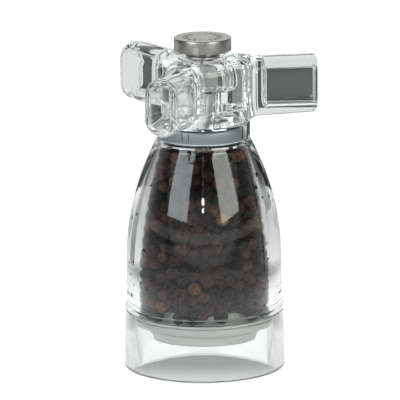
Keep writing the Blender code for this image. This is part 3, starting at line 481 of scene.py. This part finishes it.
# %% The surface net
def surface_net(field, low, high, cell):
    """Vertices and quads on the zero surface of a field over a box.

    A cell's vertex is the mean of the points where its edges cross zero. Around each grid edge
    that crosses zero, the four cells that share it give one quad. Three Newton steps along the
    field's gradient then pull every vertex onto the surface.
    """
    axes = [np.arange(a - 1.5 * cell, b + 2.5 * cell, cell) for a, b in zip(low, high)]
    value = field(*np.meshgrid(*axes, indexing="ij"))
    inside = value < 0
    total = np.zeros([n - 1 for n in value.shape] + [3], np.float32)
    count = np.zeros([n - 1 for n in value.shape], np.float32)
    crossings = []
    for axis in range(3):
        head = [slice(None)] * 3
        tail = [slice(None)] * 3
        head[axis], tail[axis] = slice(1, None), slice(None, -1)
        a, b = value[tuple(tail)], value[tuple(head)]
        crossed = inside[tuple(tail)] != inside[tuple(head)]
        crossings.append(crossed)
        where = np.argwhere(crossed)
        share = (a[crossed] / (a[crossed] - b[crossed])).astype(np.float32)
        point = where.astype(np.float32)
        point[:, axis] += share
        others = [i for i in range(3) if i != axis]
        for back_u in (0, 1):
            for back_v in (0, 1):
                near = where.copy()
                near[:, others[0]] -= back_u
                near[:, others[1]] -= back_v
                index = tuple(near.T)
                np.add.at(total, index, point)
                np.add.at(count, index, 1)
    active = count > 0
    number = np.full(count.shape, -1)
    number[active] = np.arange(active.sum())
    points = total[active] / count[active][:, None]
    points = points * cell + np.array([axis[0] for axis in axes])
    quads = []
    for axis, crossed in enumerate(crossings):
        where = np.argwhere(crossed)
        u, v = [i for i in range(3) if i != axis]
        ring = []
        for back_u, back_v in ((0, 0), (1, 0), (1, 1), (0, 1)):
            near = where.copy()
            near[:, u] -= back_u
            near[:, v] -= back_v
            ring.append(number[tuple(near.T)])
        quad = np.stack(ring, axis=1)
        flip = inside[tuple(where.T)] == (axis != 1)
        quad[flip] = quad[flip][:, ::-1]
        quads.append(quad)
    step = 0.02
    for _ in range(3):
        x, y, z = points.T
        here = field(x, y, z)
        slope = np.stack([field(x + step, y, z) - field(x - step, y, z),
                          field(x, y + step, z) - field(x, y - step, z),
                          field(x, y, z + step) - field(x, y, z - step)], axis=1) / (2 * step)
        move = here[:, None] * slope / np.maximum((slope**2).sum(1), 0.2)[:, None]
        points = points - np.clip(move, -cell / 2, cell / 2)
    return points, np.concatenate(quads)


handle_low, handle_high = box_mm("handle")
points, quads = surface_net(handle_field, handle_low, handle_high, NET_CELL)
make_piece("clear_tap_handle", points, quads, body="head", slot="clear_acrylic", material=handle_acrylic,
           replaces=["handle"])

# %% [markdown]
# ## The cap over the pocket
#
# A clear disc closes the pocket and carries the knob's washer. Its edges are broken, so they catch light.

# %% The cap
cap_low, cap_high = box_mm("hub_cap")
cap_outline = rounded([(2.6, cap_low[2], 0.2), (cap_high[0], cap_low[2], 0.3),
                       (cap_high[0], cap_high[2], 0.3), (2.6, cap_high[2], 0.2)])
turned_piece("clear_pocket_cap", cap_outline, 96, body="head", slot="clear_acrylic", material=cap_acrylic,
             replaces=["hub_cap"])

# %% [markdown]
# ## The knob
#
# A turned knob with a satin side and broken edges. Its top carries a ring of small marks. They are
# pressed into the metal, so the top is a fine polar grid whose height dips where a mark lies.

# %% The knob
knob_low, knob_high = box_mm("adjusting_knob")
KNOB_RADIUS = knob_high[0]
KNOB_TOP = knob_high[2]
BOSS_RADIUS, BOSS_TOP = 5.6, knob_low[2] + 1.3
MARKS = 20


def knob_top_height(radius, angle):
    """Depth of the pressed marks: short radial strokes in a ring, with a fine circle inside it."""
    ring = np.clip(1 - ((radius - 6.0) / 1.1) ** 2, 0, 1)
    stroke = np.clip((np.cos(angle * MARKS) - 0.35) / 0.4, 0, 1)
    gap = np.clip((np.abs((angle / TURN * 2) % 1 - 0.5) * 10 - 0.6), 0, 1)
    circle = np.clip(1 - ((radius - 4.2) / 0.12) ** 2, 0, 1)
    return -0.35 * np.sqrt(ring) * stroke * gap - 0.10 * circle


def make_knob():
    """Knob: the outline from the bore round to the top, then a polar grid closed by one point on the axis."""
    side = rounded([
        (3.4, KNOB_TOP - 0.8, 0),
        (3.4, knob_low[2], 0.15),
        (BOSS_RADIUS, knob_low[2], 0.2),
        (BOSS_RADIUS, BOSS_TOP, 0.15),
        (KNOB_RADIUS, BOSS_TOP, 0.5),
        (KNOB_RADIUS, KNOB_TOP, 0.4),
        (KNOB_RADIUS - 2, KNOB_TOP, 0),
    ])[:-1]
    inner = np.linspace(KNOB_RADIUS - 0.7, 0.3, 90)
    outline = np.concatenate([side, np.stack([inner, np.full(90, KNOB_TOP)], axis=1)])
    segments = 400
    grid = turned(outline, segments)
    radius, angle = np.hypot(grid[:, 0], grid[:, 1]), np.arctan2(grid[:, 1], grid[:, 0])
    top = np.repeat(np.arange(len(outline)) >= len(side), segments)
    dip = np.where(top, knob_top_height(radius, angle), 0)
    grid[:, 2] += dip
    rows = len(outline)
    last = (rows - 1) * segments
    poles = np.array([[0, 0, KNOB_TOP], [0, 0, KNOB_TOP - 0.8]])
    points = np.concatenate([grid, poles])
    around, onward = np.arange(segments), (np.arange(segments) + 1) % segments
    cap = np.stack([last + around, last + onward, np.full(segments, len(grid))], axis=1)
    blind = np.stack([onward, around, np.full(segments, len(grid) + 1)], axis=1)
    dip = np.append(dip, [0, 0]) / dip.min()
    return points, grid_faces(rows, segments), np.concatenate([cap, blind]), dip


def marked_nickel():
    """Satin nickel whose pressed marks are dark, by the piece's own attribute."""
    material, tree, shader = satin_metal("marked_nickel", (0.50, 0.48, 0.45), 0.30, (1, 1, 0.15), 0.15)
    depth = add_node(tree, "ShaderNodeAttribute", attribute_name="mark_depth")
    blend = add_node(tree, "ShaderNodeMix", data_type="RGBA")
    blend.inputs["A"].default_value = (0.50, 0.48, 0.45, 1.0)
    blend.inputs["B"].default_value = (0.07, 0.07, 0.07, 1.0)
    tree.links.new(depth.outputs["Fac"], blend.inputs["Factor"])
    tree.links.new(blend.outputs["Result"], shader.inputs["Base Color"])
    return material


knob_points, knob_quads, knob_fans, mark_depth = make_knob()
make_piece("satin_knob", knob_points, knob_quads, knob_fans, body="knob", slot="satin_nickel",
           material=marked_nickel(), replaces=["adjusting_knob"], attribute=("mark_depth", mark_depth))

# %% [markdown]
# ## The carrier under the chamber
#
# The chamber's floor is a milky moulding: a flange pressed up under the shell's shoulder, and a
# stepped cup below it that holds the burrs. Several fine steps round its side read as bright lines.

# %% The carrier
carrier_low, carrier_high = box_mm("burr_carrier")
FLANGE_RADIUS = carrier_high[0]
FLOOR_Z = carrier_high[2]
carrier_outline = rounded([
    (10.5, carrier_low[2], 0.2),
    (17.8, carrier_low[2], 0.5),
    (18.0, 11.2, 0.1),
    (17.7, 11.4, 0.1),
    (17.7, 11.8, 0.1),
    (18.1, 12.0, 0.1),
    (18.3, 13.5, 0.3),
    (19.1, 13.5, 0.3),
    (19.2, 14.4, 0.1),
    (18.9, 14.6, 0.1),
    (18.9, 15.0, 0.1),
    (19.3, 15.2, 0.1),
    (19.4, 15.9, 0.2),
    (FLANGE_RADIUS - 0.5, 15.9, 0.2),
    (FLANGE_RADIUS - 0.2, 16.9, 0.1),
    (FLANGE_RADIUS, 16.9, 0.1),
    (FLANGE_RADIUS, 18.1, 0.2),
    (22.6, 18.1, 0.1),
    (22.6, FLOOR_Z, 0.2),
    (12.3, FLOOR_Z, 0.2),
    (12.3, 12.7, 0.1),
    (10.5, 12.7, 0.1),
])
turned_piece("milky_carrier", carrier_outline, 192, body="body", slot="milky_plastic", material=milky_plastic,
             replaces=["burr_carrier"])

# %% [markdown]
# ## The peppercorns
#
# Several hundred dried berries, no two alike. Each starts as an icosphere of 80 faces, is squashed
# and dented a little, and is turned at random. To pack them, all centres are dropped into the
# chamber at once, and overlapping neighbours push each other apart for a set number of
# rounds. Some still overlap at the end, the worst by about a millimetre.

# %% Pack the peppercorns
CORN_RADIUS = 2.25
CORN_SPREAD = 0.22
CORN_COUNT = 880
PEPPER_TOP = SHOULDER_Z - ROOF_HEIGHT - 0.5
RIM_RADIUS, RIM_TOP = box_mm("spindle_guide")[1][0], FLOOR_Z + 2.5
HUB_SIDE, GUIDE_TOP = 7.2, box_mm("spindle_guide")[1][2]


def keep_inside(centres, radii):
    """Pushes centres off the chamber's wall, floor and roof, off the spindle, and off the guide's cage."""
    low, high = FLOOR_Z + radii, PEPPER_TOP - radii
    centres[:, 2] = np.clip(centres[:, 2], low, high)
    out = np.hypot(centres[:, 0], centres[:, 1])
    most = chamber_radius(centres[:, 2]) - radii * 0.97
    below = np.clip((GUIDE_TOP - centres[:, 2]) / (GUIDE_TOP - RIM_TOP), 0, 1)
    cage = HUB_SIDE + (RIM_RADIUS - HUB_SIDE) * below
    least = np.where(centres[:, 2] < GUIDE_TOP + 1.5, cage, 3.7) + radii * 0.9
    wanted = np.clip(out, np.minimum(least, most), most)
    centres[:, :2] *= (wanted / np.maximum(out, 1e-6))[:, None]
    return centres


def pack_corns(count, rounds):
    """Relaxes random centres: each overlapping pair moves apart by half its overlap, round after round."""
    radii = CORN_RADIUS + CORN_SPREAD * rng.standard_normal(count).clip(-1.6, 1.6)
    height = FLOOR_Z + (PEPPER_TOP - FLOOR_Z) * rng.random(count)
    out = chamber_radius(height) * np.sqrt(rng.random(count))
    angle = TURN * rng.random(count)
    centres = keep_inside(np.stack([out * np.cos(angle), out * np.sin(angle), height], axis=1), radii)
    touch = radii[:, None] + radii[None, :]
    for _ in range(rounds):
        gap = centres[:, None, :] - centres[None, :, :]
        distance = np.sqrt((gap**2).sum(2)) + 1e-6
        overlap = np.maximum(touch - distance, 0)
        np.fill_diagonal(overlap, 0)
        push = (gap / distance[:, :, None] * (overlap / 2)[:, :, None]).sum(1)
        centres = keep_inside(centres + 0.8 * push + [0, 0, -0.01], radii)
    return centres, radii, overlap.max()


centres, radii, worst = pack_corns(CORN_COUNT, 200)
low = centres[:, 2] < FLOOR_Z + 1.6 * CORN_RADIUS
kept = ~low | (rng.random(len(centres)) > 0.35)  # gaps at the floor, where a few corns are missing
centres, radii = centres[kept], radii[kept]
print("peppercorns:", len(centres), "deepest overlap left:", round(float(worst), 2), "mm")


# %% Shape the peppercorns
def ball():
    """Points and triangles of an icosphere of radius 1 with 80 faces."""
    shape = bmesh.new()
    bmesh.ops.create_icosphere(shape, subdivisions=2, radius=1.0)
    points = np.array([v.co for v in shape.verts])
    faces = np.array([[v.index for v in f.verts] for f in shape.faces])
    shape.free()
    return points, faces


def random_turns(count):
    """Rotation matrices from random unit quaternions."""
    w, x, y, z = (q := rng.standard_normal((4, count))) / np.sqrt((q**2).sum(0))
    return np.stack([
        1 - 2 * (y * y + z * z), 2 * (x * y - w * z), 2 * (x * z + w * y),
        2 * (x * y + w * z), 1 - 2 * (x * x + z * z), 2 * (y * z - w * x),
        2 * (x * z - w * y), 2 * (y * z + w * x), 1 - 2 * (x * x + y * y),
    ], axis=1).reshape(-1, 3, 3)


def shape_corns(centres, radii):
    """Each corn is a ball, scaled by its radius, with shallow dents: waves along random directions."""
    points, faces = ball()
    count = len(centres)
    dents = np.zeros((count, len(points)))
    for _ in range(5):
        direction = rng.standard_normal((count, 3)) * 2.6
        phase = TURN * rng.random((count, 1))
        dents += 0.016 * np.sin(direction @ points.T + phase)
    squash = 1 + 0.05 * rng.standard_normal((count, 1, 3)).clip(-1.5, 1.5)
    shaped = points[None] * squash * (1 + dents[:, :, None]) * radii[:, None, None]
    shaped = np.einsum("nij,nkj->nki", random_turns(count), shaped) + centres[:, None, :]
    offsets = np.arange(count)[:, None, None] * len(points)
    return shaped.reshape(-1, 3), (faces[None] + offsets).reshape(-1, 3), len(points)


corn_points, corn_faces, per_corn = shape_corns(centres, radii)
tint = np.repeat(rng.random(len(centres)), per_corn)


# %% [markdown]
# A dried peppercorn is almost black to brown, and some have lost
# their skin and are tan. One attribute gives each corn its own place on a colour ramp, a Voronoi
# pattern of nearly a millimetre gives the wrinkles and paints shade into their creases, and a finer
# noise breaks up the colour.

# %% The pepper's finish
def pepper_finish():
    """Wrinkled skin: colour from the corn's own tint, with painted shade in the creases."""
    material, tree, shader = new_finish("pepper_skin", (0.06, 0.04, 0.03), 0.55)
    tint_node = add_node(tree, "ShaderNodeAttribute", attribute_name="corn_tint")
    ramp = add_node(tree, "ShaderNodeValToRGB")
    stops = [(0.0, (0.014, 0.011, 0.011)), (0.30, (0.034, 0.022, 0.020)), (0.60, (0.090, 0.038, 0.032)),
             (0.94, (0.180, 0.072, 0.050)), (1.0, (0.46, 0.20, 0.055))]
    elements = ramp.color_ramp.elements
    while len(elements) < len(stops):
        elements.new(0.5)
    for element, (position, colour) in zip(elements, stops):
        element.position = position
        element.color = (*colour, 1.0)
    tree.links.new(tint_node.outputs["Fac"], ramp.inputs["Fac"])
    place = add_node(tree, "ShaderNodeTexCoord")
    bend_noise = object_noise(tree, 0.9, 3.0)
    cells = add_node(tree, "ShaderNodeTexVoronoi", feature="DISTANCE_TO_EDGE", Scale=1.15 / MM)
    tree.links.new(place.outputs["Object"], cells.inputs["Vector"])
    creases = add_node(tree, "ShaderNodeMapRange")
    creases.inputs["From Max"].default_value = 0.25
    tree.links.new(cells.outputs["Distance"], creases.inputs["Value"])
    # painted shade: the colour is multiplied down in the creases
    crease_painted_shade = add_node(tree, "ShaderNodeMix", data_type="RGBA", blend_type="MULTIPLY")
    crease_painted_shade.inputs["Factor"].default_value = 0.85
    tree.links.new(ramp.outputs["Color"], crease_painted_shade.inputs["A"])
    tree.links.new(creases.outputs["Result"], crease_painted_shade.inputs["B"])
    patches = add_node(tree, "ShaderNodeMix", data_type="RGBA", blend_type="OVERLAY")
    patches.inputs["Factor"].default_value = 0.6
    tree.links.new(crease_painted_shade.outputs["Result"], patches.inputs["A"])
    tree.links.new(bend_noise.outputs["Fac"], patches.inputs["B"])
    tree.links.new(patches.outputs["Result"], shader.inputs["Base Color"])
    add_bump(tree, shader, creases.outputs["Result"], 1.0, 0.16)
    shader.inputs["Specular IOR Level"].default_value = 0.18
    vary(tree, shader.inputs["Roughness"], bend_noise.outputs["Fac"], 0.45, 0.75)
    return material


pepper_skin = pepper_finish()
make_piece("peppercorns", corn_points, corn_faces, body="body", slot="pepper", material=pepper_skin,
           replaces=["peppercorn_fill"], attribute=("corn_tint", tint))

# %% [markdown]
# ## The metal and nylon inside
#
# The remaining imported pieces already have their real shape. They only need their finish.

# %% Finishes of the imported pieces
FINISHES = {
    "white_nylon": white_nylon,
    "steel": plain_steel,
    "burr_steel": burr_steel,
    "satin_nickel": satin_nickel,
    "brass": bright_brass,
    "seal_rubber": seal_rubber,
    "clear_acrylic": cap_acrylic,
    "chrome": chrome,
    "milky_plastic": milky_plastic,
    "pepper": pepper_skin,
}
for row in frame["record"]["subparts"]:
    mesh = frame["nodes"][row["node"]].data
    mesh.materials.clear()
    mesh.materials.append(FINISHES[row["material_slot"]])

# %% [markdown]
# ## Floor, surroundings and lights
#
# Clear plastic and chrome are made of what they reflect. The mill stands on a wide pale table. The
# room behind and beside it is light, the room in front is dark, and two tall soft lights stand there,
# which lie on the bell as two bright upright panels. The table shows pure white where one looks
# straight at it. In reflections and through the plastic it shows its grey, with painted shade under
# the mill and a painted pool of light beside it, and it glows with painted light behind the mill,
# round the foot and inside the skirt.

# %% The table
TABLE_RADIUS, TABLE_SIDES = 14.0, 96  # in metres, so that its rim is never near the mill
PAINTED_SHADE_UNDER, NEAR_SHADE, FAR_SHADE = 0.60, 0.80, 0.42  # the table's grey: painted shade under the mill, and a painted pool of light beside it that fades far from it
PAINTED_GLOW_BEHIND = 0.60  # painted glow on the table well behind the mill
PAINTED_GLOW_FOOT = 0.62  # painted glow on the table round the foot, seen through the clear skirt
PAINTED_GLOW_INNER_FRONT, PAINTED_GLOW_INNER_BACK = 0.40, 0.17  # painted glow on the table inside the skirt, brighter in front than at the back


def ramp_node(tree, source, start, end, low, high):
    """A smooth step of a value from low at start to high at end."""
    step = add_node(tree, "ShaderNodeMapRange", interpolation_type="SMOOTHSTEP")
    for name, value in (("From Min", start), ("From Max", end), ("To Min", low), ("To Max", high)):
        step.inputs[name].default_value = value
    tree.links.new(source, step.inputs["Value"])
    return step.outputs["Result"]


def make_table():
    """A flat disc far wider than the view, stored as one polygon: (r cos a, r sin a, 0)."""
    around = np.linspace(0, TURN, TABLE_SIDES, endpoint=False)
    rim = np.stack([np.cos(around), np.sin(around), np.zeros(TABLE_SIDES)], axis=1) * TABLE_RADIUS
    mesh = bpy.data.meshes.new("table")
    mesh.from_pydata(rim.tolist(), [], [tuple(range(TABLE_SIDES))])
    material = bpy.data.materials.new("table_white")
    material.use_nodes = True
    tree = material.node_tree
    tree.nodes.clear()
    place = add_node(tree, "ShaderNodeTexCoord")
    distance = add_node(tree, "ShaderNodeVectorMath", operation="LENGTH")
    behind = add_node(tree, "ShaderNodeVectorMath", operation="DOT_PRODUCT")
    behind.inputs[1].default_value = (-math.sin(VIEW_AZIMUTH), math.cos(VIEW_AZIMUTH), 0)
    tree.links.new(place.outputs["Object"], distance.inputs[0])
    tree.links.new(place.outputs["Object"], behind.inputs[0])
    matt = add_node(tree, "ShaderNodeBsdfDiffuse")
    # painted shade: the grey drops inside the skirt, under the mill; a painted pool of light beside the mill
    # fades to a darker grey far away
    inner = ramp_node(tree, distance.outputs["Value"], 0.023, 0.030, PAINTED_SHADE_UNDER - NEAR_SHADE, 0.0)
    outer = ramp_node(tree, distance.outputs["Value"], 0.05, 0.25, NEAR_SHADE, FAR_SHADE)
    shade = add_node(tree, "ShaderNodeMath", operation="ADD")
    tree.links.new(inner, shade.inputs[0])
    tree.links.new(outer, shade.inputs[1])
    tree.links.new(shade.outputs[0], matt.inputs["Color"])
    # painted light: emission on the table behind the mill, round the foot and inside the skirt, faded out
    # away from the mill
    sweep = add_node(tree, "ShaderNodeEmission")
    light = ramp_node(tree, behind.outputs["Value"], 0.10, 0.35, 0.0, PAINTED_GLOW_BEHIND)
    round_foot = ramp_node(tree, distance.outputs["Value"], 0.024, 0.030, 0.0, PAINTED_GLOW_FOOT)
    in_front = ramp_node(tree, behind.outputs["Value"], -0.022, 0.014, PAINTED_GLOW_INNER_FRONT, PAINTED_GLOW_INNER_BACK)
    fade = ramp_node(tree, distance.outputs["Value"], 0.08, 0.25, 1.0, 0.0)
    either = add_node(tree, "ShaderNodeMath", operation="MAXIMUM")
    tree.links.new(round_foot, either.inputs[0])
    tree.links.new(in_front, either.inputs[1])
    near = add_node(tree, "ShaderNodeMath", operation="MULTIPLY_ADD")
    tree.links.new(either.outputs[0], near.inputs[0])
    tree.links.new(fade, near.inputs[1])
    tree.links.new(light, near.inputs[2])
    tree.links.new(near.outputs[0], sweep.inputs["Strength"])
    lit = add_node(tree, "ShaderNodeAddShader")
    tree.links.new(matt.outputs["BSDF"], lit.inputs[0])
    tree.links.new(sweep.outputs["Emission"], lit.inputs[1])
    glow = add_node(tree, "ShaderNodeEmission", Color=(1.0, 1.0, 1.0, 1.0), Strength=1.05)
    path = add_node(tree, "ShaderNodeLightPath")
    mix = add_node(tree, "ShaderNodeMixShader")
    out = add_node(tree, "ShaderNodeOutputMaterial")
    tree.links.new(path.outputs["Is Camera Ray"], mix.inputs["Fac"])
    tree.links.new(lit.outputs[0], mix.inputs[1])
    tree.links.new(glow.outputs["Emission"], mix.inputs[2])
    tree.links.new(mix.outputs["Shader"], out.inputs["Surface"])
    mesh.materials.append(material)
    table = bpy.data.objects.new("table", mesh)
    bpy.context.scene.collection.objects.link(table)
    print("table:", TABLE_RADIUS, "m in radius")


make_table()

# %% The room
ROOM_LIGHT = 0.75
ROOM_DARK = 0.03


def make_room():
    """World light: pale all round, dark on the camera's side from just above the horizon upwards."""
    world = bpy.data.worlds.new("room")
    bpy.context.scene.world = world
    world.use_nodes = True
    tree = world.node_tree
    background = tree.nodes["Background"]
    place = add_node(tree, "ShaderNodeTexCoord")
    front = add_node(tree, "ShaderNodeVectorMath", operation="DOT_PRODUCT")
    front.inputs[1].default_value = (math.sin(VIEW_AZIMUTH), -math.cos(VIEW_AZIMUTH), 0)
    parts = add_node(tree, "ShaderNodeSeparateXYZ")
    tree.links.new(place.outputs["Generated"], front.inputs[0])
    tree.links.new(place.outputs["Generated"], parts.inputs[0])
    facing = add_node(tree, "ShaderNodeMapRange", interpolation_type="SMOOTHSTEP")
    facing.inputs["From Min"].default_value = -0.45
    facing.inputs["From Max"].default_value = -0.15
    tree.links.new(front.outputs["Value"], facing.inputs["Value"])
    above = add_node(tree, "ShaderNodeMapRange", interpolation_type="SMOOTHSTEP")
    above.inputs["From Min"].default_value = 0.06
    above.inputs["From Max"].default_value = 0.10
    tree.links.new(parts.outputs["Z"], above.inputs["Value"])
    both = add_node(tree, "ShaderNodeMath", operation="MULTIPLY")
    tree.links.new(facing.outputs["Result"], both.inputs[0])
    tree.links.new(above.outputs["Result"], both.inputs[1])
    level = add_node(tree, "ShaderNodeMapRange")
    level.inputs["To Min"].default_value = ROOM_LIGHT
    level.inputs["To Max"].default_value = ROOM_DARK
    tree.links.new(both.outputs[0], level.inputs["Value"])
    path = add_node(tree, "ShaderNodeLightPath")
    seen = add_node(tree, "ShaderNodeMath", operation="MAXIMUM")
    tree.links.new(level.outputs["Result"], seen.inputs[0])
    tree.links.new(path.outputs["Is Camera Ray"], seen.inputs[1])
    tree.links.new(seen.outputs[0], background.inputs["Strength"])
    background.inputs["Color"].default_value = (0.97, 1.0, 0.99, 1.0)


make_room()


# %% The soft lights
LIGHT_DISTANCE = 1.0
LIGHT_AIM = Vector((0, 0, 0.06))  # the point of the mill that the lights face


def soft_light(name, azimuth, elevation, width, height, power, colour=(1, 1, 1), roll=0.0):
    """A rectangular light at two angles from the camera's direction, facing the mill."""
    data = bpy.data.lights.new(name, "AREA")
    data.shape = "RECTANGLE"
    data.size, data.size_y = width, height
    data.energy = power
    data.color = colour
    light = bpy.data.objects.new(name, data)
    bpy.context.scene.collection.objects.link(light)
    a = VIEW_AZIMUTH + math.radians(azimuth)
    e = math.radians(elevation)
    direction = Vector((math.sin(a) * math.cos(e), -math.cos(a) * math.cos(e), math.sin(e)))
    place = Matrix.Translation(LIGHT_AIM + direction * LIGHT_DISTANCE)
    turned_to_mill = direction.to_track_quat("Z", "Y").to_matrix().to_4x4()
    light.matrix_world = place @ turned_to_mill @ Matrix.Rotation(math.radians(roll), 4, "Z")
    light.visible_camera = False
    print(name, "power", power)


soft_light("soft_light_left", -43.3, 25.0, 0.615, 0.56, 6.0, colour=(0.86, 0.96, 1.0))
soft_light("soft_light_right", 42.0, 25.5, 0.575, 0.56, 6.0, colour=(0.95, 1.0, 0.95), roll=6.0)
soft_light("lamp_upper", -1.2, 19.7, 0.070, 0.055, 0.35)
soft_light("lamp_lower", -1.2, 15.4, 0.060, 0.035, 0.20)
soft_light("lamp_stand", -1.2, 32.0, 0.012, 0.42, 0.04)

# %% [markdown]
# Clear plastic also needs something dark to show its edges against. Photographers stand black cards
# beside and behind it, out of the picture. Ours are never seen directly: only the mill sees them.


# %% The black cards
def black_card(name, azimuth, distance, left, right, top, shade, foot=0.0, only_reflected=False):
    """An upright card facing the mill, at an angle from the camera's direction, hidden from the camera."""
    a = VIEW_AZIMUTH + math.radians(azimuth)
    away = Vector((math.sin(a), -math.cos(a), 0)) * distance
    along = Vector((math.cos(a), math.sin(a), 0))
    outline = ((left, foot), (right, foot), (right, top), (left, top))
    corners = [away + along * side + Vector((0, 0, z)) for side, z in outline]
    mesh = bpy.data.meshes.new(name)
    mesh.from_pydata([tuple(c) for c in corners], [], [(0, 1, 2, 3)])
    material = bpy.data.materials.new(name)
    material.use_nodes = True
    shader = material.node_tree.nodes["Principled BSDF"]
    shader.inputs["Base Color"].default_value = (shade, shade, shade, 1.0)
    shader.inputs["Roughness"].default_value = 0.9
    mesh.materials.append(material)
    card = bpy.data.objects.new(name, mesh)
    bpy.context.scene.collection.objects.link(card)
    card.visible_camera = False
    if only_reflected:
        card.visible_transmission = card.visible_diffuse = card.visible_shadow = False
    print(name, "shade", shade)


black_card("card_right", 138.0, 0.15, -0.018, 0.018, 0.14, 0.08, foot=0.03)
black_card("card_right_narrow", 111.0, 0.28, -0.011, 0.011, 0.06, 0.02)
black_card("card_left", -146.0, 0.15, -0.025, 0.025, 0.14, 0.25, foot=0.018)
black_card("light_leg_outer", -52.5, 0.28, -0.005, 0.005, 0.06, 0.02)
black_card("light_leg_inner", -36.0, 0.28, -0.004, 0.004, 0.06, 0.02)
black_card("card_behind_arm", 180.0, 0.045, -0.0425, -0.0168, 0.101, 0.06, foot=0.070)
black_card("card_behind_hub", 180.0, 0.045, -0.0140, -0.0115, 0.110, 0.05, foot=0.070)
black_card("card_behind_bell", 180.0, 0.045, -0.060, -0.014, 0.066, 0.15, foot=0.044)
black_card("card_behind_left", 180.0, 0.060, 0.0160, 0.0215, 0.13, 0.05, foot=0.07)
black_card("card_side_left", -104.0, 0.30, -0.20, 0.20, 0.60, 0.02, foot=0.085, only_reflected=True)
black_card("card_side_right", 104.0, 0.30, -0.20, 0.20, 0.60, 0.02, foot=0.085, only_reflected=True)

# %% [markdown]
# ## Finish
#
# Light crosses many walls before it leaves clear plastic, so the paths may be long. The plain view
# transform keeps white white.

# %% Finish
scene = bpy.context.scene
scene.cycles.max_bounces = 32
scene.cycles.transmission_bounces = 24
scene.cycles.glossy_bounces = 12
scene.view_settings.view_transform = "Standard"
